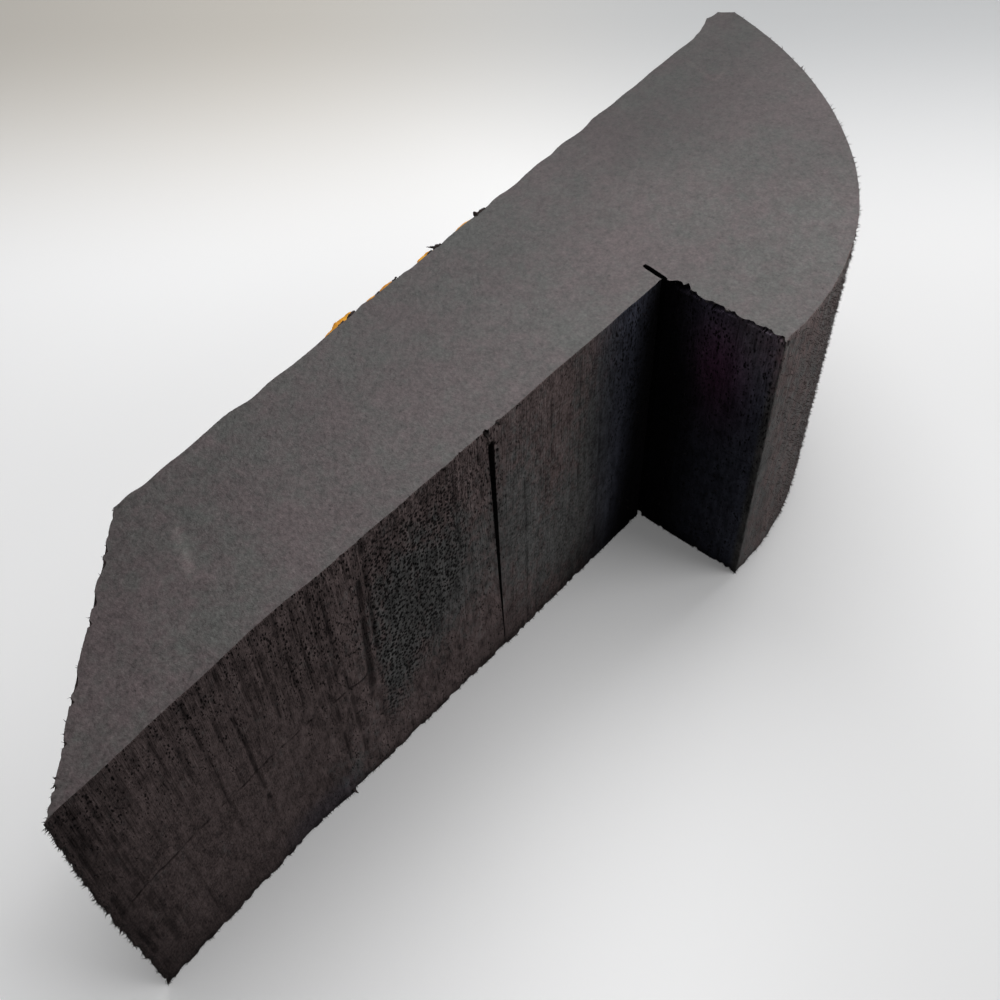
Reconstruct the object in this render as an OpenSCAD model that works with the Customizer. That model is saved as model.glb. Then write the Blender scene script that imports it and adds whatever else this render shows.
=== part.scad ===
// Foam block: an off-cut of thick closed-cell foam plank, sawn out on a band saw.
// It is a straight bar with a slanted left end, a square notch in front, a hooked toe beside the
// notch and a big round right end. Dried contact glue is left on its back face.
//
// The block is drawn from its flat back face: X runs along that face from the sharp front-left
// corner, Y points out of it, and Z goes from the lower skin to the upper one. It is then moved
// so that the origin is the middle of its underside.

/* [Plank] */
// Thickness of the plank, skin to skin
plank_h = 100; // [60:1:150]

/* [Bar] */
// Width of the bar at its left end, square to the back face
bar_w = 47; // [35:0.5:65]
// Angle between the slanted left end and the back face
end_angle = 40; // [32:1:90]
// Length of the front face, from the sharp corner, that runs true to the back face
true_l = 58; // [30:1:72]
// Length of the short facet where the saw drifted off its line
drift_l = 25; // [10:1:32]
// Width that the bar gains over that short facet
drift_w = 2; // [0:0.1:4]
// Width that the bar gains from there to the notch
flare_w = 3.7; // [0:0.1:8]

/* [Notch and toe] */
// Length of the front side, from the sharp corner to the toe's inner face
notch_l = 190; // [150:1:240]
// How far the round end reaches in front of the bar at the notch
toe_drop = 36.3; // [20:0.1:50]
// Width of the saw kerf that ran past the notch's inner corner
overcut_w = 1.1; // [0.6:0.1:2]
// Length that it ran past the corner, into the bar
overcut_l = 6.5; // [2:0.5:12]
// Angle of that kerf to the toe's inner face
overcut_turn = 7; // [0:0.5:10]

/* [Round end] */
// Length of the round end, from the toe's inner face to its furthest point
end_l = 108.6; // [90:0.1:135]
// Radius of the round end beside the tip
tip_r = 123; // [100:1:150]
// Radius of the round end beside the toe
heel_r = 96.5; // [78:0.5:120]
// Angle below the X direction at which one radius runs into the other
blend_angle = 45; // [35:1:60]

/* [Tip] */
// Length over which the back face bends outwards before the tip
lip_l = 17; // [12:0.5:24]
// How far it has bent out at its peak
lip_w = 2.4; // [1.2:0.1:4]
// Distance of that peak from the furthest point
lip_peak_l = 8; // [5:0.5:10]
// Length of the cut-off corner, along X
tip_cut_l = 3.1; // [1:0.1:4]
// How far the peak has fallen back at the cut-off corner
tip_fall = 0.8; // [0:0.1:1.1]
// How far the cut-off corner comes down the round end, in front of the back face
tip_cut_w = 2.5; // [1:0.1:4]

/* [Stray kerf] */
// Distance of the stray saw cut in the front face from the toe's inner face
stray_gap = 64.5; // [30:1:70]
// Width of that cut at its upper end, from where it narrows to nothing
stray_w = 1.8; // [0.8:0.1:3]
// Depth of that cut at its upper end, from where it runs out
stray_depth = 7; // [2:0.5:14]
// How far below the upper skin it starts, under a bridge of foam
stray_top_gap = 5; // [2:0.5:10]
// Height above the lower skin at which it ends
stray_end_h = 5; // [2:1:30]
// Angle at which it leans towards the toe on its way down
stray_lean = 1.1; // [0:0.1:3]

/* [Glue] */
// Distance of the first run of glue from the back-left corner
glue_start = 65; // [10:1:80]
// How far below the upper skin the glue starts
glue_top_gap = 0.4; // [0:0.1:2]

/* [Hidden] */
// Distance along X from the sharp front corner to the back-left corner
back_corner_x = bar_w / tan(end_angle);
// The front face's height at the end of its facet and at the notch, all measured from the back face
drift_y = -(bar_w + drift_w);
notch_y = drift_y - flare_w;
// Furthest reach of the block to the right, and in front
end_x = notch_l + end_l;
deep_y = notch_y - toe_drop;

// The round end is two arcs that share a tangent where they meet. Their centres lie on one line,
// at blend_angle, so the offset between them is the difference of the radii along that line.
// The lower arc touches deep_y, and the upper one passes the cut-off corner at end_x.
arc_shift = tip_r - heel_r;
tip_cy = deep_y + heel_r + arc_shift * sin(blend_angle);
tip_cx = end_x - sqrt(pow(tip_r, 2) - pow(tip_cy + tip_cut_w, 2));
heel_cx = tip_cx + arc_shift * cos(blend_angle);
heel_cy = tip_cy - arc_shift * sin(blend_angle);

// The lowest point is the bottom of the lower arc, or the toe's corner where that comes first
toe_corner_y = heel_cy - sqrt(pow(heel_r, 2) - pow(notch_l - heel_cx, 2));
low_y = heel_cx > notch_l ? deep_y : toe_corner_y;
// The middle of the underside, which becomes the origin
mid_x = end_x / 2;
mid_y = (low_y + lip_w) / 2;

// Runs of glue: distance from the first one's left end, length along the face, and thickness
glue_runs = [[0, 13, 1.1], [16.5, 4.5, 0.4], [21.5, 6.5, 0.7], [35, 7, 0.7], [50, 7, 0.4]];

// Blanks and cuts run past the surfaces that they meet by this much
over = 1;
// Side of the squares that stand for half a plane
big = 2 * end_x;

$fn = 360;

// Everything on one side of the line that the centres of both arcs lie on
module blend_side(upper) {
    translate([heel_cx, heel_cy])
        rotate(-blend_angle)
            translate([-big / 2, upper ? 0 : -big / 2])
                square([big, big / 2]);
}

// What the round cut leaves: a large disc beside the tip, a smaller one beside the toe, and a
// blank for the bar that runs into both
module round_cut() {
    intersection() {
        translate([tip_cx, tip_cy]) circle(r = tip_r);
        blend_side(true);
    }
    intersection() {
        translate([heel_cx, heel_cy]) circle(r = heel_r);
        blend_side(false);
    }
    translate([-over, notch_y - toe_drop / 2])
        square([heel_cx + over, toe_drop / 2 - notch_y + lip_w + over]);
}

// The straight cuts: slanted left end, back face, lip and cut-off corner of the tip, toe's inner
// face, and a front face in three facets. The corner outside the round end is left over
module straight_cuts() {
    polygon([
        [0, -bar_w],
        [back_corner_x, 0],
        [end_x - lip_l, 0],
        [end_x - lip_peak_l, lip_w],
        [end_x - tip_cut_l, lip_w - tip_fall],
        [end_x, -tip_cut_w],
        [end_x + over, deep_y - over],
        [notch_l, deep_y - over],
        [notch_l, notch_y],
        [true_l + drift_l, drift_y],
        [true_l, -bar_w]
    ]);
}

// Saw kerf that ran past the notch's inner corner, on the line of the toe's inner face
module overcut_outline() {
    translate([notch_l, notch_y])
        rotate(-overcut_turn)
            translate([-overcut_w / 2, -overcut_w])
                square([overcut_w, overcut_l + overcut_w]);
}

// Stray saw cut in the front face: a wedge that narrows and gets shallower on its way down. It is
// what a triangle in the front view and a triangle in the side view have in common
module stray_kerf() {
    fall = plank_h - stray_top_gap - stray_end_h;
    face_slope = flare_w / (notch_l - true_l - drift_l);
    translate([notch_l - stray_gap, notch_y + face_slope * stray_gap, plank_h - stray_top_gap])
        rotate([0, -stray_lean, 0])
            intersection() {
                translate([0, stray_depth, 0])
                    rotate([90, 0, 0])
                        linear_extrude(stray_depth + over)
                            polygon([[0, -fall], [stray_w / 2, 0], [-stray_w / 2, 0]]);
                translate([-stray_w, 0, 0])
                    rotate([90, 0, 90])
                        linear_extrude(2 * stray_w)
                            polygon([[-over, -fall], [0, -fall], [stray_depth, 0], [-over, 0]]);
            }
}

// The whole block: one sawn outline through the full thickness of the plank
module foam_block() {
    color([0.33, 0.31, 0.30])
        translate([-mid_x, -mid_y, 0])
            difference() {
                linear_extrude(plank_h)
                    difference() {
                        intersection() {
                            straight_cuts();
                            union() round_cut();
                        }
                        overcut_outline();
                    }
                stray_kerf();
            }
}

// One run of glue: the lower half of a low spherical cap on the back face. The sphere stands
// rise above the middle of a chord that is the run's length
module glue_run(length, rise) {
    cap_r = (pow(length / 2, 2) + pow(rise, 2)) / (2 * rise);
    intersection() {
        translate([0, rise - cap_r, 0])
            sphere(r = cap_r, $fn = 180);
        translate([-length, 0, -length])
            cube([2 * length, 2 * rise, length]);
    }
}

// Dried contact glue along the top of the back face
module glue_residue() {
    color([0.85, 0.55, 0.10])
        translate([-mid_x, -mid_y, plank_h - glue_top_gap])
            for (run = glue_runs)
                translate([back_corner_x + glue_start + run[0] + run[1] / 2, 0, 0])
                    glue_run(run[1], run[2]);
}

foam_block();
glue_residue();
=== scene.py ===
import math
import bmesh
import bpy
import numpy as np
from mathutils import Matrix, Vector, geometry


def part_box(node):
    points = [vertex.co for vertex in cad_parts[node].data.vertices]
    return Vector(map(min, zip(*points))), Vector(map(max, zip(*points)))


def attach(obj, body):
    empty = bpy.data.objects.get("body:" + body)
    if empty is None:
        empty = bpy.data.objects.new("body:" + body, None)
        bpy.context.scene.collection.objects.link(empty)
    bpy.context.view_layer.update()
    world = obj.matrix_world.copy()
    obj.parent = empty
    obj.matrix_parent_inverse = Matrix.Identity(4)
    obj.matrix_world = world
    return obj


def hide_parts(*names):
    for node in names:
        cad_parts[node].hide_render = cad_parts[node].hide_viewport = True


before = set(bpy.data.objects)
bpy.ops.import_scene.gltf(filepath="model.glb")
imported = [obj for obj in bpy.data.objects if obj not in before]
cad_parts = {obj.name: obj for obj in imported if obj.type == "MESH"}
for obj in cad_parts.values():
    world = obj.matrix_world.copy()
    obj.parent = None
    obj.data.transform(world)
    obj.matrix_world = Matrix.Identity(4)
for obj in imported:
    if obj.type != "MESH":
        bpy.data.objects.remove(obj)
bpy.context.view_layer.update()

MM = 0.001

# ----------------------------------------
# Camera. It looks down on the block over its sharp left corner, from near enough for the far end
# to look much smaller.
# ----------------------------------------

CAMERA_PLACE = (-0.16438, -0.13330, 0.32371)
CAMERA_TURN = math.radians(41.51)       # from the X direction towards Y
CAMERA_DIP = math.radians(53.08)
CAMERA_ROLL = math.radians(-2.33)


def placed(name, data):
    """A new object in the scene that shows those data, at the origin."""
    thing = bpy.data.objects.new(name, data)
    bpy.context.scene.collection.objects.link(thing)
    return thing


camera = placed("camera", bpy.data.cameras.new("camera"))
bpy.context.scene.camera = camera
camera.data.sensor_width = 36
camera.data.lens = 45.99
camera.data.clip_start = 0.01
look = Vector((math.cos(CAMERA_TURN) * math.cos(CAMERA_DIP),
               math.sin(CAMERA_TURN) * math.cos(CAMERA_DIP),
               -math.sin(CAMERA_DIP)))
camera.matrix_world = (Matrix.Translation(CAMERA_PLACE)
                       @ look.to_track_quat("-Z", "Y").to_matrix().to_4x4()
                       @ Matrix.Rotation(CAMERA_ROLL, 4, "Z"))

# ----------------------------------------
# The foam block. One piece of charcoal polyethylene foam plank: two layers welded together half
# way up, with a smooth skin above and below. It was cut out freehand on a band saw, so its walls
# are open cells that carry the marks of the blade.
# ----------------------------------------

FRONT_STEP = 0.55 * MM                  # width of the columns of the front walls' mesh
REST_STEP = 0.90 * MM                   # width of the others
ROW_STEP = 1.35 * MM                    # height of its rows, away from the rims and the weld
SKIN_STEP = 3.0 * MM                    # pitch of the mesh on the skins
SHARP_TURN = math.radians(12)           # an outline turns at least this much at a corner
LONG_SIDE = 12 * MM                     # a side that long is straight, and no chord of an arc

low_corner, high_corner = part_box("foam_block")
PLANK = high_corner.z - low_corner.z
WELD = PLANK / 2


def sawn_corners(node):
    """Corners of the upper skin of a CAD node, anticlockwise from its leftmost one."""
    mesh = bmesh.new()
    mesh.from_mesh(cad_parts[node].data)
    bmesh.ops.remove_doubles(mesh, verts=mesh.verts, dist=0.001 * MM)
    mesh.verts.ensure_lookup_table()
    after = {}
    for face in mesh.faces:
        if face.normal.z > 0.9 and all(PLANK - v.co.z < 0.01 * MM for v in face.verts):
            for loop in face.loops:
                if loop.link_loop_radial_next.face.normal.z < 0.9:
                    after[loop.vert.index] = loop.link_loop_next.vert.index
    at = min(after, key=lambda i: mesh.verts[i].co.x)
    found = []
    for _ in after:
        found.append(mesh.verts[at].co.xy[:])
        at = after[at]
    mesh.free()
    return np.array(found)


def sawn_line(corners, steps):
    """Points along the outline, about steps[i] apart on the side that starts at corner i.

    Straight sides stay straight, and the short chords of an arc become a curve. Returns the
    points, the way along to each of them, the girth, the directions along the outline and out of
    it at each point, and the ways along to the corners.
    """
    come, go = corners - np.roll(corners, 1, 0), np.roll(corners, -1, 0) - corners
    turn = np.arctan2(come[:, 0] * go[:, 1] - come[:, 1] * go[:, 0], (come * go).sum(1))
    longest = np.maximum(np.hypot(*come.T), np.hypot(*go.T))
    sharp = (np.abs(turn) > SHARP_TURN) | (longest > LONG_SIDE)
    runs = []
    for i, start in enumerate(corners):
        j = (i + 1) % len(corners)
        side = corners[j] - start
        length = np.hypot(*side)
        leave = side if sharp[i] else come[i] + go[i]
        arrive = side if sharp[j] else come[j] + go[j]
        leave = leave * (length / np.hypot(*leave))
        arrive = arrive * (length / np.hypot(*arrive))
        t = np.linspace(0, 1, max(2, round(length / steps[i])), endpoint=False)[:, None]
        bend = t * t * (3 - 2 * t)
        runs.append(start * (1 - bend) + leave * (t**3 - 2 * t**2 + t)
                    + corners[j] * bend + arrive * (t**3 - t**2))
    points = np.vstack(runs)
    go = np.roll(points, -1, 0) - points
    along = np.concatenate([[0], np.cumsum(np.hypot(*go.T))])
    go /= np.hypot(*go.T)[:, None]
    ahead = go + np.roll(go, 1, 0)
    ahead /= np.hypot(*ahead.T)[:, None]
    starts = np.cumsum([0] + [len(run) for run in runs])[:-1]
    outward = np.stack([ahead[:, 1], -ahead[:, 0]], 1)
    return points, along[:-1], along[-1], ahead, outward, along[starts[np.abs(turn) > SHARP_TURN]]


def wander(s, z, pitch_s, pitch_z, seed):
    """Smooth chance waves from -1 to 1, of those pitches along the outline and up the wall."""
    lattice = np.random.default_rng(seed).uniform(-1, 1, (1000, 100))
    a, b = s / pitch_s, z / pitch_z + 8
    i, j = np.floor(a).astype(int), np.floor(b).astype(int)
    f, g = a - i, b - j
    f, g = f * f * (3 - 2 * f), g * g * (3 - 2 * g)
    i, j = i % 999, j % 99
    near = lattice[i, j] * (1 - f) + lattice[i + 1, j] * f
    far = lattice[i, j + 1] * (1 - f) + lattice[i + 1, j + 1] * f
    return near * (1 - g) + far * g


def rise(x, start, end):
    """0 up to start, 1 from end on, and a smooth rise between them."""
    t = np.clip((x - start) / (end - start), 0, 1)
    return t * t * (3 - 2 * t)


def hump(x, middle, half):
    """1 at the middle, falling smoothly to 0 at half on each side of it."""
    return 1 - rise(np.abs(x - middle), 0, half)


corners = sawn_corners("foam_block")
# The corners at which these sides start, counted from the sharp front-left one
STARTS = {"notch": 3, "toe": 7, "round end": 8, "tip": 37, "back": 40, "slanted end": 41}
steps = np.where(np.arange(len(corners)) < STARTS["round end"], FRONT_STEP, REST_STEP)
line, along, girth, ahead, outward, edges = sawn_line(corners, steps)

# The same as ways along the outline from the sharp front-left corner
NOTCH, TOE, HEEL, TIP, BACK, END = (
    along[np.hypot(*(line - corners[i]).T).argmin()] for i in STARTS.values())
BACK_X = line[np.abs(along - BACK).argmin(), 0]

# Rows of the wall, close together at both rims and at the weld
rim_rows = np.array([0, 0.15, 0.3, 0.5, 0.7, 0.9, 1.05, 1.25, 1.6, 2.1, 2.8, 3.6]) * MM
weld_rows = WELD + np.array([-1.7, -1.1, -0.6, -0.25, 0, 0.25, 0.6, 1.1, 1.7]) * MM
room = weld_rows[0] - rim_rows[-1]
plain_rows = rim_rows[-1] + np.arange(1, round(room / ROW_STEP)) * room / round(room / ROW_STEP)
lower_rows = np.concatenate([rim_rows, plain_rows])
rows = np.concatenate([lower_rows, weld_rows, PLANK - lower_rows[::-1]])

S, Z = np.meshgrid(along, rows)         # way along and height of each point of the wall
depth = PLANK - Z                       # below the upper skin
corner = np.minimum(along, girth - along)       # way from the sharp front-left corner
nearest = np.minimum(corner, np.abs(along[:, None] - edges).min(1))
in_kerf = rise(S, NOTCH - 1 * MM, NOTCH) * (1 - rise(S, TOE, TOE + 1 * MM))
free = (1 - 0.85 * in_kerf) * rise(nearest, 0, 2.5 * MM)    # how far the wall may stray

# The offset is how far a point lies out of the outline. The blade wandered as the work was pushed
# past it, much the same at all heights, and the back wall is lumpier than the rest
steady = 1 - 0.7 * rise(S, HEEL, HEEL + 12 * MM) * (1 - rise(S, TIP - 12 * MM, TIP))
steady *= 0.35 + 0.65 * rise(Z, 0, 25 * MM)
lumpy = rise(S, BACK, BACK + 9 * MM) * (1 - 0.7 * rise(S, END - 8 * MM, END))
offset = free * MM * (0.34 * steady * wander(S, Z, 17 * MM, 160 * MM, 3)
                      + 0.16 * steady * wander(S, Z, 5.3 * MM, 120 * MM, 4)
                      + 0.20 * steady * wander(S, Z, 30 * MM, 34 * MM, 5)
                      + 0.30 * lumpy * wander(S, Z, 7 * MM, 26 * MM, 18))

# Ledge in the front face, where the blade changed its line: the right side lies lower. It runs
# through these points, given as way along and height
LEDGE = np.array([[67, 3], [75, 25], [80.5, 45], [83.5, 68], [83.8, 93], [84.5, 100]]) * MM
ledge = np.interp(Z, LEDGE[:, 1], LEDGE[:, 0]) + 0.5 * MM * wander(Z, Z, 4 * MM, 1, 6)
beyond = rise(S, ledge - 0.35 * MM, ledge + 0.35 * MM) * (1 - rise(S, 105 * MM, 140 * MM))
proud = (S < ledge) * hump(S, ledge, 9 * MM)
offset += MM * (1 - 0.8 * rise(Z, 90 * MM, 97 * MM)) * (0.30 * proud - 0.50 * beyond)

# Torn places under the upper skin, in mm: way along from the toe's inner face or from the sharp
# corner, half length, how far back, and height
TOE_TEARS = [(4.2, 3.4, 2.0, 1.3), (8.5, 1.6, 0.9, 0.9), (14.5, 2.8, 2.1, 1.3),
             (19.0, 2.2, 1.1, 0.9), (24.5, 1.6, 0.8, 0.9), (28.5, 2.6, 1.2, 0.9),
             (33.5, 1.8, 0.8, 0.8)]
SLOT_TEARS = [(124.9, 1.0, 0.9, 2.4), (129.4, 0.6, 0.6, 2.2)]
ragged = 1 + 0.7 * wander(S, Z, 0.8 * MM, 1, 7)
for origin, torn_places in ((TOE, TOE_TEARS), (0, SLOT_TEARS)):
    for middle, half, back, high in torn_places:
        share = hump(S, origin + middle * MM, half * MM) ** 0.6
        offset -= MM * share * ragged * 0.75 * back * (depth < high * MM)
        offset -= MM * share * 0.9 * back * ((depth > 0.2 * MM)
                                             & (depth < high * MM * (0.7 + 0.3 * share)))

# Stray cut in the front face: a slot with square walls that gets narrower and shallower on its
# way down. Seven columns are drawn to its edges, and the others near it make room
SLOT_TOP, SLOT_END = PLANK - 6 * MM, 4 * MM
SLOT_AT, SLOT_LEAN = 125.3 * MM, math.tan(math.radians(1.2))
SLOT_WIDTH, SLOT_DEPTH = 1.7 * MM, 6.5 * MM
SLOT_ROOM = 11 * MM
fall = np.clip((rows - SLOT_END) / (SLOT_TOP - SLOT_END), 0, 1)
slot = SLOT_AT + SLOT_LEAN * (SLOT_TOP - rows)
first = np.abs(along - slot.mean()).argmin() - 3
spread = np.array([-1.3, -1, -0.85, 0, 0.85, 1, 1.3])
shift = np.zeros_like(S)
for r, middle in enumerate(slot):
    half = max(SLOT_WIDTH / 2 * fall[r] ** 0.8, 0.12 * MM)
    limits = [middle - SLOT_ROOM, middle + SLOT_ROOM]
    knots = np.concatenate([limits[:1], along[first:first + 7], limits[1:]])
    moved = np.concatenate([limits[:1], middle + spread * half, limits[1:]])
    shift[r] = np.interp(along, knots, moved) - along
    shift[r, (along < limits[0]) | (along > limits[1])] = 0
cut = rise(rows, SLOT_END, SLOT_END + 3 * MM)
cut -= rise(rows, SLOT_TOP - 0.5 * MM, SLOT_TOP + 0.5 * MM)
offset[:, first + 2:first + 5] -= (cut * SLOT_DEPTH * fall)[:, None]

# The weld shows as a fine broken crack that wanders about half way up
flat = np.zeros_like(along)
weld_lift = MM * (0.8 * wander(along, flat, 19 * MM, 1, 8)
                  + 0.45 * wander(along, flat, 4 * MM, 1, 9)
                  + 0.25 * wander(along, flat, 1.6 * MM, 1, 15))
lift = hump(Z, WELD, 0.35 * PLANK) * weld_lift
crack = hump(Z, WELD, 0.65 * MM) * rise(wander(S, 0 * S, 1.7 * MM, 1, 10), -0.5, 0.3)
crack *= 1 - 0.6 * rise(S, 76 * MM, 90 * MM)
offset -= 0.25 * MM * crack * free

# Deep single tracks of the blade, in mm: ways along at their top and foot, heights there, half the
# width, and depth
TRACKS = [
    (2.2, 2.6, 99, 8, 0.9, 0.25), (2.6, 3.2, 66, 6, 0.9, 0.20), (4.6, 5, 98, 20, 0.8, 0.24),
    (6.4, 6.8, 97, 50, 0.8, 0.20), (7.4, 8.2, 74, 10, 0.9, 0.22), (8.5, 9.2, 96, 11, 0.8, 0.24),
    (11, 11.8, 62, 16, 0.8, 0.16), (12, 12.4, 99, 70, 0.6, 0.20), (15.5, 16.3, 97, 52, 0.8, 0.16),
    (19.5, 20, 60, 8, 0.7, 0.20), (24, 24.6, 98, 46, 0.8, 0.16), (28, 28.6, 98, 60, 0.8, 0.20),
    (33, 34, 99, 34, 0.6, 0.30), (37.5, 38.4, 99, 52, 0.8, 0.24), (42, 43.5, 99, 21, 0.9, 0.40),
    (47, 47.6, 99, 40, 0.8, 0.18), (49, 49.6, 97, 72, 0.6, 0.20), (52, 53, 99, 62, 0.8, 0.26),
    (55.5, 56, 84, 50, 0.8, 0.20), (59, 60, 84, 43, 0.6, 0.25), (63, 63.6, 99, 52, 0.8, 0.26),
    (67.3, 67.8, 101, 18, 0.8, 0.30), (70.5, 71, 100, 66, 0.8, 0.26), (72, 73, 60, 2, 0.8, 0.25),
    (78, 78.4, 101, 76, 0.7, 0.20), (81, 78.5, 88, 38, 1.4, 0.45), (83.6, 83, 101, 56, 1.3, 0.75),
    (98, 98.8, 90, 8, 0.7, 0.20), (113, 113.5, 98, 30, 0.7, 0.20), (137, 137.5, 70, 4, 0.7, 0.20),
    (121.3, 121.8, 99, 76, 0.6, 0.30), (147, 147.6, 98, 68, 0.8, 0.20),
    (158, 158.6, 96, 40, 0.7, 0.20), (167, 167.4, 80, 6, 0.7, 0.20)]
tracked = np.zeros_like(S)
for top, foot, high, low, half, deep in TRACKS:
    down = np.clip((high * MM - Z) / ((high - low) * MM), 0, 1)
    middle = (top + (foot - top) * down) * MM + 0.15 * MM * wander(Z, Z, 9 * MM, 1, int(top) + 40)
    dotted = rise(wander(Z, Z, 3.2 * MM, 1, int(top) + 90), -1.0, 0.3)
    ends = rise(Z, (low - 2) * MM, (low + 2) * MM)
    ends *= 1 - rise(Z, (high - 2) * MM, (high + 1) * MM)
    tracked = np.maximum(tracked, hump(S, middle, half * MM) * ends * dotted * deep)
offset -= 0.9 * MM * tracked * free

# Both edges have lost a hair's breadth. The lower one is torn where the blade came out, and the
# upper one at the slanted end and the toe
offset -= 0.18 * MM * (1 - rise(np.minimum(depth, Z), 0, 0.3 * MM))
tears = rise(wander(S, 0 * S, 1.2 * MM, 1, 11), 0.1, 0.9) * (1 - rise(Z, 0, 1.4 * MM))
offset -= 0.7 * MM * tears
teeth = rise(wander(S, 0 * S, 1.5 * MM, 1, 12), 0.0, 0.9) * (1 - rise(depth, 0, 1.2 * MM))
toothed = 1.5 * rise(S, END, END + 2 * MM) + 0.6 * hump(S, TOE + 18 * MM, 22 * MM)
offset -= 0.6 * MM * teeth * toothed
offset = np.maximum(offset * rise(nearest, 0, 1.2 * MM), -0.25 * corner)

# Single humps of the back wall, in mm: x from the middle, half their length, and their height
HUMPS = [(-88.5, 5.0, 0.75), (-60.0, 9.0, 0.35), (-13.0, 3.5, 0.35), (1.5, 3.0, 0.30),
         (19.0, 4.0, 0.35), (38.0, 6.0, 0.45), (57.5, 5.0, 0.35), (84.0, 8.0, 0.30)]
for x, half, high in HUMPS:
    offset += high * MM * hump(S, BACK + BACK_X - x * MM, half * MM)

# The thin front-left corner springs out a little half way up, and its edge is frayed
spring = 1.3 * MM * (1 - rise(corner, 0, 14 * MM)) * hump(Z, 0.55 * PLANK, 0.6 * PLANK)
spring += (MM * (1 - rise(corner, 0, 2.5 * MM)) * rise(np.minimum(depth, Z), 0, 2 * MM)
           * (0.35 * wander(Z, Z, 1.7 * MM, 1, 16) + 0.30 * wander(Z, Z, 4.5 * MM, 1, 17) - 0.1))

wall = np.empty(S.shape + (3,))
wall[..., :2] = (line + ahead * shift[..., None] + outward * offset[..., None]
                 + outward[0] * spring[..., None])
wall[..., 2] = Z + lift
wall[0, :, 2], wall[-1, :, 2] = 0, PLANK


def skin_points(rim, step, seed):
    """Points inside a rim: a slightly shaken triangle lattice that keeps off the rim."""
    low, high = rim.min(0), rim.max(0)
    columns = np.arange(low[0], high[0], step)
    lines = np.arange(low[1], high[1], 0.87 * step)
    x, y = np.meshgrid(columns, lines)
    x[::2] += step / 2
    grid = np.stack([x.ravel(), y.ravel()], 1)
    grid += np.random.default_rng(seed).uniform(-0.12, 0.12, grid.shape) * step
    side = np.roll(rim, -1, 0) - rim
    kept = []
    for part in np.array_split(grid, 40):
        to = part[:, None] - rim
        t = np.clip((to * side).sum(2) / (side**2).sum(1), 0, 1)
        gap = np.sqrt(((to - t[..., None] * side) ** 2).sum(2)).min(1)
        passed = (rim[:, 1] > part[:, None, 1]) != (np.roll(rim, -1, 0)[:, 1] > part[:, None, 1])
        safe = np.where(side[:, 1] == 0, 1, side[:, 1])
        reach = rim[:, 0] + to[..., 1] / safe * side[:, 0]
        inside = (passed & (part[:, None, 0] < reach)).sum(1) % 2 == 1
        kept.append(part[inside & (gap > 0.45 * step)])
    return np.vstack(kept)


count = len(along)
i, j = np.meshgrid(np.arange(len(rows) - 1), np.arange(count), indexing="ij")
k = (j + 1) % count
quads = np.stack([i * count + j, i * count + k, (i + 1) * count + k, (i + 1) * count + j], -1)
quads = quads.reshape(-1, 4)
verts, skins = [wall.reshape(-1, 3)], []
total = len(verts[0])
for row, z in ((0, 0), (len(rows) - 1, PLANK)):
    rim = wall[row, :, :2]
    inner = skin_points(rim, SKIN_STEP, 20 + row)
    points = [Vector(p) for p in np.vstack([rim, inner])]
    found = geometry.delaunay_2d_cdt(points, [(c, (c + 1) % count) for c in range(count)],
                                     [], 1, 1e-7)
    origin = np.array([min(ids) for ids in found[3]])
    faces = origin[np.array(found[2])]
    faces = np.where(faces < count, row * count + faces, total + faces - count)
    skins.append(faces if row else faces[:, ::-1])
    verts.append(np.column_stack([inner, np.full(len(inner), z)]))
    total += len(inner)
verts, skins = np.vstack(verts), np.vstack(skins)

mesh = bpy.data.meshes.new("foam_block_sawn")
mesh.from_pydata(verts.tolist(), [], quads.tolist() + skins.tolist())
mesh.shade_smooth()
on_wall = np.arange(len(mesh.polygons)) < len(quads)
mesh.attributes.new("sawn", "BOOLEAN", "FACE").data.foreach_set("value", on_wall)

# The way along the outline and the height, in metres, lie on the wall as its UV map, and the
# skins have their plan there
uv = np.empty((len(mesh.loops), 2))
wide_s = np.where((j == count - 1)[..., None] & np.array([False, True, True, False]), girth,
                  np.stack([along[j], along[k], along[k], along[j]], -1))
uv[:quads.size] = np.stack([wide_s.reshape(-1), verts[quads.ravel(), 2]], 1)
uv[quads.size:] = verts[skins.ravel(), :2]
mesh.uv_layers.new(name="way_up").data.foreach_set("uv", uv.ravel())


def keep(mesh, name, values, kind="FLOAT"):
    """Keeps a value for each point of the wall as an attribute, which is 0 on the skins."""
    width = 3 if kind == "FLOAT_VECTOR" else 1
    whole = np.zeros((total, width))
    whole[:S.size] = np.asarray(values).reshape(-1, width)
    field = "vector" if width == 3 else "value"
    mesh.attributes.new(name, kind, "POINT").data.foreach_set(field, whole.ravel())


# For the shape of the saw's marks: the way along, the room for them, and the way out of the wall
keep(mesh, "along", S)
keep(mesh, "room", free * rise(nearest, 0, 1.5 * MM))
ways_out = np.broadcast_to(np.column_stack([outward, flat]), S.shape + (3,))
keep(mesh, "outward", ways_out, "FLOAT_VECTOR")

# Pitted: a patch right of the ledge where the blade tore whole cells out
pitted = rise(S, 80 * MM, 84 * MM) * (1 - rise(S, 108 * MM, 124 * MM))
pitted_from = 8 * MM + 1.2 * (S - 84 * MM)
pitted *= rise(Z, pitted_from, pitted_from + 18 * MM)
pitted *= (1 - 0.5 * rise(Z, 90 * MM, 99 * MM)) * (S > ledge)
keep(mesh, "pitted", pitted)

# Shaded slot sides: the sides of the stray cut, painted nearly black as painted shade deep in the
# slot
slot_side = np.zeros_like(S)
slot_side[:, first + 1:first + 6] = cut[:, None]
keep(mesh, "closed", slot_side)
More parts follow.
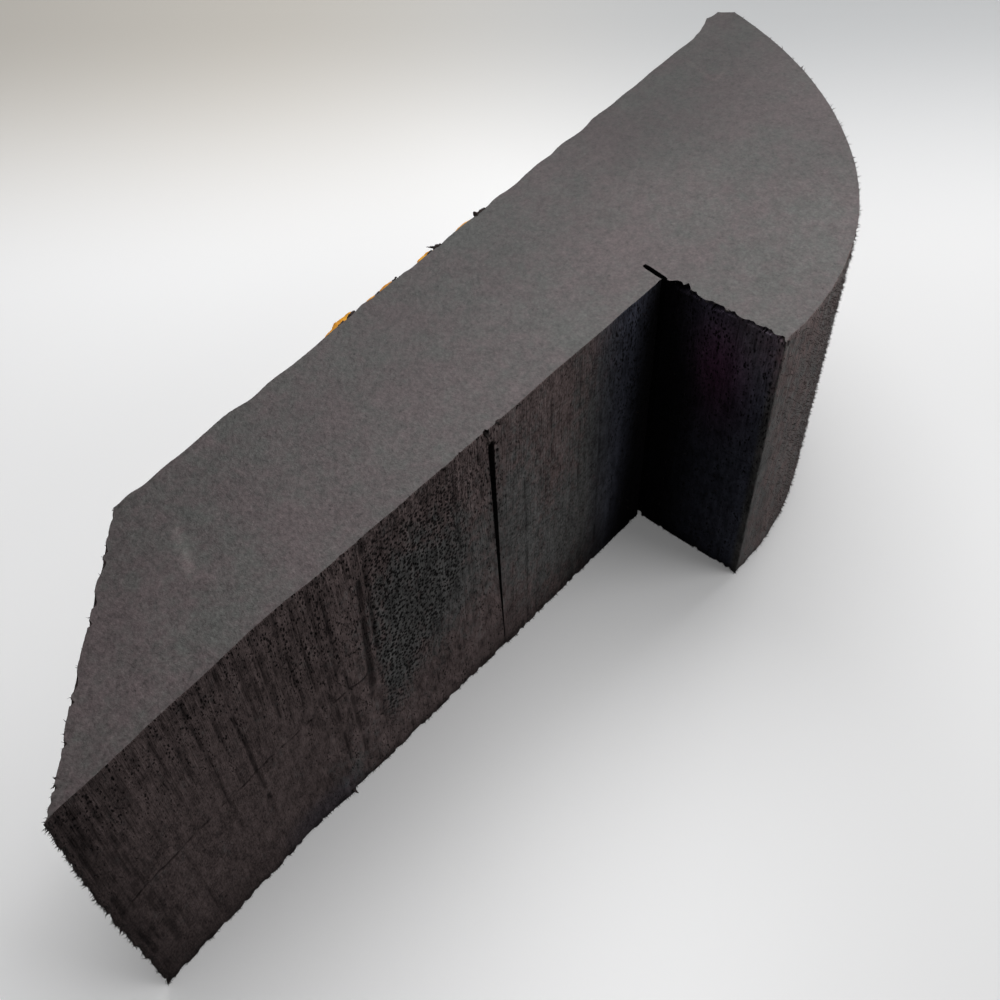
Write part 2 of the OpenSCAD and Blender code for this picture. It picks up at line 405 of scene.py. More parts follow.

# Painted shade and dirt: the deep tracks are painted dark as the shade in them, the weld's crack
# and the sharp corner are darker, and the foot is darker with dirt and painted shade, most near
# the notch
foot = (1 - rise(Z, 0.3 * MM, 4.5 * MM)) * (0.60 + 0.40 * wander(S, Z, 1.5 * MM, 1, 13))
foot += 0.40 * (1 - rise(Z, 4 * MM, 20 * MM)) * (1 - rise(S, 58 * MM, 70 * MM))
foot += 0.30 * (1 - rise(Z, 2 * MM, 8 * MM)) * rise(S, 58 * MM, 70 * MM) * (S < HEEL)
foot += ((0.42 + 0.38 * rise(S, 150 * MM, 165 * MM)) * (1 - rise(Z, 6 * MM, 26 * MM))
         * rise(S, 108 * MM, 120 * MM) * (S < NOTCH))
darker_corner = 0.30 * (1 - rise(S, 2 * MM, 7 * MM))
keep(mesh, "painted_shade_and_dirt", np.clip(3.6 * tracked + 1.3 * crack + darker_corner + foot, 0, 1))

# Brushed: the round end, where the saw's last strokes raised a fine nap. The torn fibres there are
# painted lighter, as painted light
round_end = rise(S, HEEL - 1 * MM, HEEL + 2 * MM) * (1 - rise(S, TIP - 20 * MM, TIP))
keep(mesh, "brushed", round_end)

# Painted light and shade: how light the foam is drawn, by the way along in mm. It is painted
# darkest in the notch, where the shade is deepest, and lightest on the round end, as painted
# light, above all just under the upper skin
PAINTED_LIGHT = [(0, 0.70), (9, 0.85), (18, 1.00), (60, 1.10), (70, 1.18), (76, 1.40), (82, 1.32),
         (88, 1.27), (112, 1.33), (119, 1.55), (128, 1.45), (135, 1.42), (152, 1.50), (160, 1.32),
         (167, 1.02), (174, 0.90), (180, 0.84), (184, 0.40), (188, 0.10), (190, 0.05), (207, 0.03),
         (211, 0.05), (215, 0.14), (219, 0.30), (223, 0.44), (231, 0.70), (235, 0.90),
         (239, 1.25), (243, 1.85), (380, 1.85), (420, 1.0), (636, 1.0)]
ways, lights = np.array(PAINTED_LIGHT).T
# Low on the wall the painted shade of the notch starts a little earlier along the way
early = 9 * MM * (1 - Z / PLANK) * rise(S, 90 * MM, 150 * MM) * (S < TOE)
upwards = 0.35 * Z / PLANK - 0.15 + 0.4 * np.exp(-depth / (3 * MM))
painted_light_and_shade = np.interp(S + early, ways * MM, lights) * (1 + round_end * upwards)
# Painted light high on the toe's inner face, strongest near the notch's corner
toe_top = rise(Z, 66 * MM, 92 * MM) * rise(S, TOE, TOE + 6 * MM) * (S < HEEL)
painted_light_and_shade *= 1 + toe_top * (3.2 - 1.9 * rise(S, TOE + 8 * MM, TOE + 22 * MM))
keep(mesh, "painted_light_and_shade", painted_light_and_shade)

# Calm: where the tracks and torn cells are faint
calm = (1 - rise(S, 40 * MM, 72 * MM)) * (0.30 - 0.15 * rise(Z, 45 * MM, 85 * MM))
calm += 0.40 * rise(S, 127 * MM, 133 * MM) * (1 - rise(S, 160 * MM, 175 * MM))
calm += 0.12 * toe_top
keep(mesh, "calm", calm)

# Violet: the bluish foam on both sides of the notch's corner, and a trace of it at the foot
violet = rise(S, TOE - 46 * MM, TOE - 26 * MM) * (1 - rise(S, HEEL - 3 * MM, HEEL - 1 * MM))
violet *= 1 - 0.6 * rise(Z, 70 * MM, 96 * MM) * rise(S, TOE + 12 * MM, TOE + 26 * MM)
trace = (1 - rise(Z, 5 * MM, 16 * MM)) * rise(S, 38 * MM, 52 * MM)
violet = np.maximum(violet, 0.4 * trace * (1 - rise(S, 62 * MM, 74 * MM)))
keep(mesh, "violet", violet)

# Plum: a reddish patch high on the toe's inner face
plum = np.exp(-((S - TOE) / MM - 17) ** 2 / 80 - ((Z - PLANK) / MM + 22) ** 2 / 340)
plum = np.maximum(plum, 0.20 * rise(Z, 70 * MM, 92 * MM))
keep(mesh, "plum", plum * (S > TOE) * (S < HEEL))

# Cool: greyer patches, in mm: way along, height, half width, half height, and how strong they are
COOL = [(93, 62, 13, 24, 1.0), (109, 55, 14, 26, 0.9), (87, 34, 5, 16, 0.7), (69, 10, 7, 14, 0.6),
        (134, 60, 12, 34, 0.8), (150, 28, 16, 24, 0.8), (166, 55, 13, 50, 0.8),
        (182, 40, 12, 60, 0.9), (206, 55, 26, 90, 0.9), (205, 70, 7, 16, 0.5),
        (230, 30, 12, 60, 0.9), (280, 50, 50, 90, 0.65), (360, 50, 60, 90, 0.50)]
cool = sum(share * np.exp(-((S / MM - s) / wide) ** 2 - ((Z / MM - z) / high) ** 2)
           for s, z, wide, high, share in COOL)
keep(mesh, "cool", np.clip(cool, 0, 1))

block = placed("foam_block_sawn", mesh)


class Flow:
    """A socket of a node tree. Arithmetic on flows adds Math nodes to the tree."""

    def __init__(self, socket):
        self.socket = socket

    def __getitem__(self, name):
        """Another output of the same node."""
        return Flow(self.socket.node.outputs[name])

    @staticmethod
    def node(tree, kind, settings=None, inputs=None):
        """A new node's first output: its settings come first, then its inputs' values or links."""
        made = tree.nodes.new(kind)
        for name, value in (settings or {}).items():
            setattr(made, name, value)
        for name, value in (inputs or {}).items():
            spot = made.inputs[name] if isinstance(name, int) else next(
                s for s in made.inputs if s.enabled and s.name == name)
            if isinstance(value, Flow):
                tree.links.new(value.socket, spot)
            else:
                spot.default_value = value
        return Flow(next((s for s in made.outputs if s.enabled), None)) if made.outputs else made

    def math(self, operation, *values):
        return Flow.node(self.socket.id_data, "ShaderNodeMath", {"operation": operation},
                         dict(enumerate(values)))

    def __add__(self, other):
        return self.math("ADD", self, other)

    def __sub__(self, other):
        return self.math("SUBTRACT", self, other)

    def __rsub__(self, other):
        return self.math("SUBTRACT", other, self)

    def __mul__(self, other):
        return self.math("MULTIPLY", self, other)

    __radd__, __rmul__ = __add__, __mul__


def stretch(place, *sizes):
    """A place measured in those sizes instead of metres, for a pattern of that scale.

    One size is for all directions, and two are for the wall's flat map.
    """
    sizes = sizes * 3 if len(sizes) == 1 else sizes + (1,)
    return Flow.node(place.socket.id_data, "ShaderNodeVectorMath", {"operation": "MULTIPLY"},
                     {0: place, 1: [1 / size for size in sizes]})


def waves(place, *sizes, seed=0, detail=2):
    """Chance waves from about -1 to 1 whose pitches are about those sizes."""
    found = Flow.node(place.socket.id_data, "ShaderNodeTexNoise", {"noise_dimensions": "4D"},
                      {"Vector": stretch(place, *sizes), "W": seed * 7.3, "Scale": 1.0,
                       "Detail": detail, "Roughness": 0.55})
    return (found - 0.5) * 3


def cells(place, *sizes):
    """Distance from the nearest cell's middle, in cell sizes."""
    dimensions = "2D" if len(sizes) == 2 else "3D"
    return Flow.node(place.socket.id_data, "ShaderNodeTexVoronoi",
                     {"voronoi_dimensions": dimensions, "feature": "F1"},
                     {"Vector": stretch(place, *sizes), "Scale": 1.0})


def between(value, low, high):
    """0 up to low, 1 from high on, and a smooth rise between them; low may be the larger."""
    return Flow.node(value.socket.id_data, "ShaderNodeMapRange",
                     {"interpolation_type": "SMOOTHSTEP"},
                     {"Value": value, "From Min": low, "From Max": high})


def scaled(vector, share):
    """A vector or a colour, times a share."""
    return Flow.node(share.socket.id_data, "ShaderNodeVectorMath", {"operation": "SCALE"},
                     {"Vector": vector, "Scale": share})


def blend(tree, share, first, second):
    """One colour, and another where share is 1."""
    return Flow.node(tree, "ShaderNodeMix", {"data_type": "RGBA"},
                     {"Factor": share, "A": first, "B": second})


def finish(name, tree_of):
    """A material whose shader sockets are what tree_of gives for its tree."""
    material = bpy.data.materials.new(name)
    material.use_nodes = True
    tree = material.node_tree
    tree.nodes.clear()
    values, height, reach = tree_of(tree)
    normal = Flow.node(tree, "ShaderNodeBump", None, {"Height": height, "Distance": reach})
    shader = Flow.node(tree, "ShaderNodeBsdfPrincipled", None, values | {"Normal": normal})
    Flow.node(tree, "ShaderNodeOutputMaterial", None, {"Surface": shader})
    return material


# Marks on the upper skin, as places on its plan in mm from the sharp corner and the front line:
# start, end, width, and how much lighter they are
SCUFFS = [((61.0, 32.0), (55.3, 20.8), 4.8, 0.78), ((81.0, 44.5), (83.5, 43.0), 3.0, 0.40),
          ((269.5, 42.0), (265.8, 30.0), 2.4, 0.75), ((265.8, 30.0), (271.7, 30.2), 2.4, 0.75),
          ((235.5, 44.2), (241.9, 43.2), 5.0, 0.35), ((242.8, -10.1), (241.3, -18.1), 5.0, 0.25),
          ((223.6, 9.3), (255.5, 7.8), 9.0, 0.10)]
FRONT_CORNER = corners[0]


def skin_tree(tree):
    """Smooth moulded skin: fine pebbled grain, faint brown and grey patches, a few scuffs, and
    painted shade.
    """
    place = Flow.node(tree, "ShaderNodeTexCoord")["Object"]
    part = Flow.node(tree, "ShaderNodeSeparateXYZ", None, {"Vector": place})
    x, y = part["X"], part["Y"]
    grain = waves(place, 0.30 * MM, seed=1, detail=1)
    grit = waves(place, 0.55 * MM, seed=8, detail=1)
    pebble = waves(place, 1.05 * MM, seed=2, detail=1)
    lumps = waves(place, 2.6 * MM, seed=7, detail=1)
    cloud = waves(place, 26 * MM, seed=3, detail=2)
    dapple = waves(place, 11 * MM, seed=10, detail=2)
    tint = 0.6 * waves(place, 5 * MM, seed=4, detail=3)
    tint = tint + 0.8 * waves(place, 15 * MM, seed=9, detail=2)
    tint = tint + 0.5 * waves(place, 1.8 * MM, seed=5, detail=1)
    dot = between(cells(place, 7 * MM), 0.055, 0.035)
    stray = waves(place, 2 * MM, seed=6) * 0.3 * MM
    scuffed = 0
    for start, end, width, strength in SCUFFS:
        start, end = (np.array(p) * MM + FRONT_CORNER for p in (start, end))
        length = np.hypot(*(end - start))
        way = (end - start) / length
        run = (x - start[0]) * way[0] + (y - start[1]) * way[1]
        aside = (x - start[0]) * way[1] - (y - start[1]) * way[0]
        off = aside.math("ABSOLUTE", aside) + stray
        ends = between(run, -0.8 * MM, 0.8 * MM)
        ends = ends * between(run, length + 0.8 * MM, length - 0.8 * MM)
        scuffed = between(off, 0.5 * width * MM, 0) * ends * strength + scuffed
    share = between(tint + 0.5 * cloud, -0.9, 0.7)
    base = blend(tree, share, (0.0545, 0.0545, 0.0515, 1), (0.0650, 0.0500, 0.0515, 1))
    light = 1 + 0.20 * grain + 0.34 * grit + 0.36 * pebble
    light = light + 0.18 * lumps + 0.09 * cloud + 0.08 * dapple
    # Painted shade: darker near the back rim and towards the far end, lighter towards the front
    # rim
    painted_shade = 1.07 - between(y, 0, 32 * MM) * (0.18 + 0.08 * between(x, -50 * MM, 0))
    painted_shade = painted_shade - 0.24 * between(x + 0.5 * y, 65 * MM, 105 * MM)
    painted_shade = painted_shade + 0.10 * between(y, -15 * MM, -35 * MM)
    light = (light + scuffed * (1 + 0.5 * grain) - 0.5 * dot) * painted_shade
    rough = 0.50 + 0.04 * grain + 0.05 * cloud + 0.3 * scuffed
    values = {"Base Color": scaled(base, light), "Roughness": rough, "Specular IOR Level": 0.24}
    return values, 0.5 * grain + pebble, 0.04 * MM


def sawn_tree(tree):
    """Open cells: matt, darker than the skin, with the blade's upright tracks and torn pits, and
    painted light and shade.
    """
    place = Flow.node(tree, "ShaderNodeUVMap", {"uv_map": "way_up"})
    pitted, torn, closed, painted_shade_and_dirt, painted_light_and_shade, cool, brushed, violet, plum, calm = (
        Flow.node(tree, "ShaderNodeAttribute", {"attribute_name": name})["Fac"]
        for name in ("pitted", "torn", "closed", "painted_shade_and_dirt", "painted_light_and_shade", "cool", "brushed", "violet",
                     "plum", "calm"))
    up = Flow.node(tree, "ShaderNodeSeparateXYZ", None, {"Vector": place})["Y"]
    combed = between(up, 40 * MM, 95 * MM)
    tracks = waves(place, 0.40 * MM, 9 * MM, seed=11, detail=3) * (0.6 + 1.0 * combed)
    bands = waves(place, 2.2 * MM, 50 * MM, seed=12, detail=3)
    fuzz = waves(place, 0.40 * MM, 0.62 * MM, seed=13, detail=2)
    grit = waves(place, 0.62 * MM, 0.95 * MM, seed=21, detail=1)
    mottle = waves(place, 0.9 * MM, 1.9 * MM, seed=18, detail=2)
    patch = waves(place, 2.6 * MM, 6 * MM, seed=19, detail=1)
    crowd = waves(place, 1.7 * MM, 18 * MM, seed=15, detail=2)
    ragged = 0.24 * fuzz + 0.30 * mottle
    torn_cells = cells(place, 0.80 * MM, 1.9 * MM) + ragged - 0.26 * crowd - 0.18 * patch
    pits = between(torn_cells + 0.18 * (1 - combed) + 0.75 * calm, 0.36, 0.04)
    round_cells = cells(place, 1.15 * MM, 1.35 * MM) + 0.5 * ragged - 0.16 * patch
    round_pits = between(round_cells, 0.46, 0.14)
    pit = (pits * (1 - pitted) + round_pits * pitted) * (1 - 0.95 * brushed)
    tint = waves(place, 5 * MM, 9 * MM, seed=17, detail=2)
    tint = tint + 1.2 * waves(place, 1.6 * MM, 2.8 * MM, seed=20, detail=2)
    share = between(tint + 2.0 * cool, 0.2, 2.0)
    base = blend(tree, share, (0.0355, 0.0270, 0.0264, 1), (0.0286, 0.0284, 0.0280, 1))
    base = blend(tree, 0.85 * violet, base, (0.0215, 0.0238, 0.0350, 1))
    base = blend(tree, plum, base, (0.0420, 0.0180, 0.0360, 1))
    light = 0.60 * tracks + 0.62 * bands + 0.90 * mottle + 1.00 * patch
    light = 1.68 + light * (1 - 0.55 * brushed - calm) * (1 - 0.1 * violet)
    light = light + 0.62 * fuzz * (1 - 0.5 * brushed) + 2.9 * calm * grit
    # The pits and the torn-out cells are painted darker, as painted shade in the holes
    light = light.math("MAXIMUM", light, 0.12) * (1 - 0.90 * pit) * (1 - 0.5 * torn)
    # Painted shade in the tracks and at the foot, with dirt at the foot
    painted_shade_and_dirt = painted_shade_and_dirt * (0.85 + 0.5 * mottle)
    # The stray cut's sides get painted shade, and the whole outline its painted light and shade
    light = light * (1 - 0.8 * painted_shade_and_dirt.math("MINIMUM", painted_shade_and_dirt, 1)) * (1 - 0.96 * closed) * painted_light_and_shade
    height = 0.6 * tracks + 0.4 * fuzz + 0.7 * mottle - 1.6 * pit - 1.0 * painted_shade_and_dirt
    values = {"Base Color": scaled(base, light), "Roughness": 0.95, "Specular IOR Level": 0.02,
              "Sheen Weight": 0.015, "Sheen Roughness": 0.5, "Sheen Tint": (1, 0.88, 0.95, 1)}
    return values, height, 0.25 * MM


skin_finish = finish("foam_skin", skin_tree)
sawn_finish = finish("foam_sawn_cells", sawn_tree)


def shape_tree(name, sizes):
    """A geometry tree with a named input for each size. Returns it and its start."""
    tree = bpy.data.node_groups.new(name, "GeometryNodeTree")
    tree.interface.new_socket("Geometry", in_out="INPUT", socket_type="NodeSocketGeometry")
    tree.interface.new_socket("Geometry", in_out="OUTPUT", socket_type="NodeSocketGeometry")
    for label in sizes:
        tree.interface.new_socket(label, in_out="INPUT", socket_type="NodeSocketFloat")
    return tree, Flow.node(tree, "NodeGroupInput")


def dressed(geometry, material, **where):
    """Geometry with that material, all over or on a selection."""
    return Flow.node(geometry.socket.id_data, "GeometryNodeSetMaterial", None,
                     {"Geometry": geometry, "Material": material} | where)


def shaped(thing, geometry, sizes):
    """What an object becomes by the tree that makes that geometry, as a plain mesh."""
    tree = geometry.socket.id_data
    Flow.node(tree, "NodeGroupOutput", None, {"Geometry": geometry})
    modifier = thing.modifiers.new(tree.name, "NODES")
    modifier.node_group = tree
    for item in tree.interface.items_tree:
        if item.in_out == "INPUT" and item.name in sizes:
            modifier[item.identifier] = sizes[item.name]
    graph = bpy.context.evaluated_depsgraph_get()
    made = bpy.data.meshes.new_from_object(thing.evaluated_get(graph), depsgraph=graph,
                                           preserve_all_data_layers=True)
    thing.modifiers.remove(modifier)
    return made


def named(tree, name, kind="FLOAT"):
    """A stored attribute of the mesh."""
    return Flow.node(tree, "GeometryNodeInputNamedAttribute", {"data_type": kind}, {"Name": name})


# The saw's marks: upright tracks a tooth apart, and pits where whole cells were torn out
SAW_MARKS = {"Track pitch": 0.9 * MM, "Track height": 24 * MM, "Track depth": 0.10 * MM,
             "Pit width": 1.3 * MM, "Pit height": 2.6 * MM, "Pit depth": 0.45 * MM}


def in_sizes(tree, place, width, height):
    """A place on the wall measured in the tree's own inputs."""
    size = Flow.node(tree, "ShaderNodeCombineXYZ", None, {"X": width, "Y": height, "Z": 1.0})
    return Flow.node(tree, "ShaderNodeVectorMath", {"operation": "DIVIDE"}, {0: place, 1: size})


def height_of(tree):
    """The height of the geometry's points."""
    position = Flow.node(tree, "GeometryNodeInputPosition")
    return Flow.node(tree, "ShaderNodeSeparateXYZ", None, {"Vector": position})["Z"]


tree, start = shape_tree("saw_marks", SAW_MARKS)
up = height_of(tree)
here = Flow.node(tree, "ShaderNodeCombineXYZ", None, {"X": named(tree, "along"), "Y": up})
in_tracks = in_sizes(tree, here, start["Track pitch"], start["Track height"])
in_pits = in_sizes(tree, here, start["Pit width"], start["Pit height"])
track = waves(in_tracks, 1, seed=31)
speck = waves(in_pits, 1, seed=32, detail=1)
crowd = waves(here, 2.4 * MM, 60 * MM, seed=33, detail=1)
combed = between(up, 40 * MM, 95 * MM)
hole = speck + 0.35 * crowd + 0.3 * combed
hole = hole + 0.5 * named(tree, "pitted") - 0.6 * named(tree, "calm")
hole = between(hole, 0.90, 1.40) * (1 - 0.85 * named(tree, "brushed"))
push = (track * start["Track depth"] - hole * start["Pit depth"]) * named(tree, "room")
push = push * (1 - named(tree, "closed"))
move = scaled(named(tree, "outward", "FLOAT_VECTOR"), push)
marked = Flow.node(tree, "GeometryNodeSetPosition", None,
                   {"Geometry": start["Geometry"], "Offset": move})
# The holes are kept as torn, which the walls' finish paints darker as painted shade
kept = Flow.node(tree, "GeometryNodeStoreNamedAttribute",
                 {"data_type": "FLOAT", "domain": "POINT"},
                 {"Geometry": marked, "Name": "torn", "Value": hole})
real = Flow.node(tree, "GeometryNodeRealizeInstances", None, {"Geometry": kept})
skinned = dressed(real, skin_finish)
done = dressed(skinned, sawn_finish, Selection=named(tree, "sawn", "BOOLEAN"))
block.data = shaped(block, done, SAW_MARKS)

# Rims stay crisp: their edges part the skin's shading from the wall's
mesh = block.data
sharp = np.zeros(len(mesh.edges), bool)
ends = np.empty(len(mesh.edges) * 2, int)
mesh.edges.foreach_get("vertices", ends)
ends = ends.reshape(-1, 2)
for rim_start in (0, S.size - count):
    sharp |= ((ends >= rim_start) & (ends < rim_start + count)).all(1)
mesh.attributes.new("sharp_edge", "BOOLEAN", "EDGE").data.foreach_set("value", sharp)

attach(block, "root")
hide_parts("foam_block")

# ----------------------------------------
# Torn fibres. Where the blade left the foam it pulled out short stiff hairs of polyethylene: all
# over the walls, thickly on the sharp front-left corner and along the rims.
# ----------------------------------------

# How thickly they grow at each point of the wall, and how long they are there
round_middle = 1 - rise(S, TIP - 40 * MM, TIP - 10 * MM)
tufted = rise(wander(Z, Z, 4 * MM, 1, 14), -0.5, 0.6)
lowest, highest = Z < 0.45 * MM, depth < 0.45 * MM
sprout = 0.012 + 0.15 * rise(S, HEEL, HEEL + 10 * MM) * round_middle
sprout += 2.6 * (corner < 0.7 * MM) * (0.3 + tufted) + 0.08 * (corner < 4 * MM)
sprout += 0.16 * rise(S, HEEL + 8 * MM, HEEL + 30 * MM) * round_middle
sprout += 2.8 * lowest + 0.15 * highest * (S < TIP) + 0.3 * highest * (S > END)
sprout *= (1 - 0.9 * in_kerf) * (1 - slot_side)
sprout *= np.where((S > TIP) & (S < END), rise(depth, 1.5 * MM, 3 * MM), 1)
keep(mesh, "sprout", sprout)
keep(mesh, "reach", 1 + 0.15 * round_end + 0.2 * (corner < 1.0 * MM)
     - 0.1 * highest * (S > END) - 0.25 * lowest)

# The crowd is how many grow on a square metre where sprout is 1
FIBRES = {"Thickest": 0.20 * MM, "Length": 0.75 * MM, "Crowd": 2.4e6}
tree, start = shape_tree("torn_fibres", FIBRES)
spots = Flow.node(tree, "GeometryNodeDistributePointsOnFaces", None,
                  {"Mesh": start["Geometry"], "Selection": named(tree, "sawn", "BOOLEAN"),
                   "Density": named(tree, "sprout") * start["Crowd"], "Seed": 41})
spike = Flow.node(tree, "GeometryNodeMeshCone", None,
                  {"Vertices": 4, "Side Segments": 2, "Radius Top": 0.0,
                   "Radius Bottom": start["Thickest"] * 0.5, "Depth": 1.0})
up = height_of(tree)
hook = Flow.node(tree, "ShaderNodeCombineXYZ", None,
                 {"X": up * up * 0.35 * MM, "Z": up * (start["Length"] - 1) - 0.08 * MM})
spike = Flow.node(tree, "GeometryNodeSetPosition", None, {"Geometry": spike, "Offset": hook})
lean = Flow.node(tree, "FunctionNodeRandomValue", {"data_type": "FLOAT_VECTOR"},
                 {"Min": (-0.75, -0.75, 0.0), "Max": (0.75, 0.75, 6.28), "Seed": 42})
size = Flow.node(tree, "FunctionNodeRandomValue", {"data_type": "FLOAT"},
                 {"Min": 0.35, "Max": 1.5, "Seed": 43})
turned = Flow.node(tree, "FunctionNodeRotateRotation", {"rotation_space": "LOCAL"},
                   {"Rotation": spots["Rotation"], "Rotate By": lean})
hairs = Flow.node(tree, "GeometryNodeInstanceOnPoints", None,
                  {"Points": spots, "Instance": spike, "Rotation": turned,
                   "Scale": size * named(tree, "reach")})
hairs = Flow.node(tree, "GeometryNodeRealizeInstances", None, {"Geometry": hairs})
up = height_of(tree)
above_floor = up.math("MAXIMUM", 0.03 * MM - up, 0)
lifted = Flow.node(tree, "ShaderNodeCombineXYZ", None, {"Z": above_floor})
hairs = Flow.node(tree, "GeometryNodeSetPosition", None, {"Geometry": hairs, "Offset": lifted})


def fibre_tree(tree):
    """Thin ends of foam, as dark as the walls."""
    place = Flow.node(tree, "ShaderNodeTexCoord")["Object"]
    tint = waves(place, 3 * MM, seed=51)
    share = between(tint, -0.5, 0.5)
    plain = blend(tree, share, (0.036, 0.027, 0.026, 1), (0.022, 0.020, 0.020, 1))
    brushed = Flow.node(tree, "ShaderNodeAttribute", {"attribute_name": "brushed"})["Fac"]
    # On the round end the fibres are painted lighter, the same painted light as the wall there
    base = blend(tree, brushed, plain, (0.085, 0.070, 0.068, 1))
    return {"Base Color": base, "Roughness": 0.9, "Specular IOR Level": 0.1}, tint, 0.02 * MM


fibre_finish = finish("foam_fibres", fibre_tree)
fibres = placed("torn_fibres", shaped(block, dressed(hairs, fibre_finish), FIBRES))
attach(fibres, "root")

# ----------------------------------------
# Shreds and crumbs: bits of foam that hang on where the blade tore the skin, at the toe's rim, at
# the back rim among the glue, and at a few places along the foot.
# ----------------------------------------

# Each is a row of points and the radii there, all in mm. A point is the way along the outline, how
# far out, and the height. The first ones' way along is from the sharp front-left corner
SHREDS = [
    ([(529.8, 0.1, 99.7), (528.8, 0.4, 100.0), (527.4, 0.0, 99.8)], [0.35, 0.60, 0.40]),
    ([(529.2, 0.3, 99.9), (530.1, 1.1, 100.2), (530.9, 1.8, 100.4)], [0.40, 0.26, 0.06]),
    ([(513.6, 0.2, 99.8), (513.0, 0.5, 100.1), (512.4, 0.2, 99.9)], [0.45, 0.80, 0.45]),
    ([(512.2, 0.2, 99.9), (511.0, 0.3, 100.0), (509.6, 0.0, 99.8)], [0.35, 0.42, 0.30]),
    ([(561.8, 0.0, 99.7), (560.4, 0.3, 99.9), (558.9, 0.3, 99.8)], [0.28, 0.45, 0.28]),
    ([(564.9, 0.0, 99.8), (563.2, 0.1, 99.9)], [0.22, 0.28]),
    ([(551.6, 0.0, 99.7), (550.0, 0.2, 99.9)], [0.30, 0.28]),
    ([(545.2, 0.0, 99.7), (543.6, 0.3, 99.9)], [0.34, 0.26]),
    ([(532.4, 0.0, 99.8), (530.6, 0.2, 99.9)], [0.26, 0.34]),
    ([(65.8, -0.1, 2.4), (66.2, 0.6, 1.6), (66.5, 1.1, 0.8)], [0.40, 0.34, 0.12]),
    ([(125.4, 0.0, 97.6), (125.9, 0.2, 95.6), (126.2, 0.0, 93.6)], [0.25, 0.40, 0.25]),
    ([(129.0, -0.1, 99.7), (129.4, 0.7, 99.9)], [0.30, 0.12]),
    ([(134.8, 0.0, 99.9), (135.2, 0.9, 100.4), (134.9, 1.6, 101.1), (134.3, 1.9, 101.6)],
     [0.16, 0.13, 0.10, 0.04])]

# From the start of the round end
ROUND_SHREDS = [([(-1.6, 0.0, 99.3), (-0.4, 0.4, 99.7)], [0.40, 0.20]),
                ([(1.6, 0.1, 99.2), (0.6, 0.6, 98.6)], [0.36, 0.12])]

# From the end of the outline, back at the sharp corner
LAST_SHREDS = [([(-8.0, 0.0, 99.4), (-7.4, 0.6, 99.8), (-7.0, 1.1, 100.1)], [0.24, 0.12, 0.04]),
               ([(-9.3, 0.0, 99.2), (-9.7, 0.7, 99.4)], [0.22, 0.06])]

# Slivers of skin that stand off the toe's rim, with a dark crack behind each, from the toe's
# inner face
SLIVERS = [([(2.2, -0.2, 99.3), (3.6, 0.2, 99.6), (5.2, 0.3, 99.3)], [0.20, 0.34, 0.12]),
           ([(5.8, -0.2, 99.4), (6.8, 0.1, 99.8), (8.4, -0.1, 99.5)], [0.16, 0.30, 0.14]),
           ([(11.6, -0.2, 99.4), (13.2, 0.4, 99.7), (15.0, 0.3, 99.2)], [0.20, 0.38, 0.14]),
           ([(16.0, -0.1, 99.6), (17.6, 0.3, 99.8), (19.6, 0.0, 99.4)], [0.16, 0.34, 0.16]),
           ([(27.0, -0.1, 99.5), (28.6, 0.3, 99.7), (30.4, 0.0, 99.3)], [0.16, 0.32, 0.14])]
SIDES = 8                               # each is a closed tube with this many sides


def shred_rings(origin, path, radii, seed):
    """A closed lumpy tube through those points: its vertices and faces."""
    chance = np.random.default_rng(seed)
    way, out, high = np.array(path).T * MM
    way = way + origin
    level = wall[[np.abs(rows - z).argmin() for z in high], :, :2]
    path = np.array([[np.interp(w, along, ring[:, k]) + o * np.interp(w, along, outward[:, k])
                      for k in (0, 1)] + [z] for w, o, z, ring in zip(way, out, high, level)])
    t = np.linspace(0, len(path) - 1, 3 * len(path))
    middle = np.stack([np.interp(t, range(len(path)), path[:, k]) for k in range(3)], 1)
    middle += chance.uniform(-0.06, 0.06, middle.shape) * MM
    wide = np.interp(t, range(len(path)), np.array(radii) * MM) * chance.uniform(0.8, 1.15, len(t))
    axis = path[-1] - path[0]
    side = np.cross(axis, (0, 0, 1) if abs(axis[2]) < 0.7 * np.linalg.norm(axis) else (1, 0, 0))
    side /= np.linalg.norm(side)
    other = np.cross(axis, side)
    other /= np.linalg.norm(other)
    angle = np.arange(SIDES) * math.tau / SIDES
    ring = np.cos(angle)[:, None] * side + np.sin(angle)[:, None] * other
    rough = chance.uniform(0.75, 1.15, (len(t), SIDES, 1))
    points = (middle[:, None] + ring * rough * wide[:, None, None]).reshape(-1, 3)
    faces = [(r + a, r + SIDES + a, r + SIDES + (a + 1) % SIDES, r + (a + 1) % SIDES)
             for r in range(0, len(points) - SIDES, SIDES) for a in range(SIDES)]
    faces += [tuple(range(SIDES)), tuple(len(points) - 1 - a for a in range(SIDES))]
    return points, faces


def closed_mesh(name, points, faces):
    """A smooth mesh whose faces all look outwards."""
    mesh = bpy.data.meshes.new(name)
    mesh.from_pydata(points, [], faces)
    parts = bmesh.new()
    parts.from_mesh(mesh)
    bmesh.ops.recalc_face_normals(parts, faces=parts.faces)
    parts.to_mesh(mesh)
    parts.free()
    mesh.shade_smooth()
    return mesh


points, faces, of_skin = [], [], []
seed = 60
for origin, bits in ((0, SHREDS), (HEEL, ROUND_SHREDS), (girth, LAST_SHREDS), (TOE, SLIVERS)):
    for path, radii in bits:
        more, sides = shred_rings(origin, path, radii, seed)
        faces += [tuple(len(points) + a for a in side) for side in sides]
        points += more.tolist()
        of_skin += [bits is SLIVERS] * len(sides)
        seed += 1
shreds = placed("torn_shreds", closed_mesh("torn_shreds", points, faces))
shreds.data.materials.append(fibre_finish)
shreds.data.materials.append(skin_finish)
shreds.data.polygons.foreach_set("material_index", of_skin)
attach(shreds, "root")

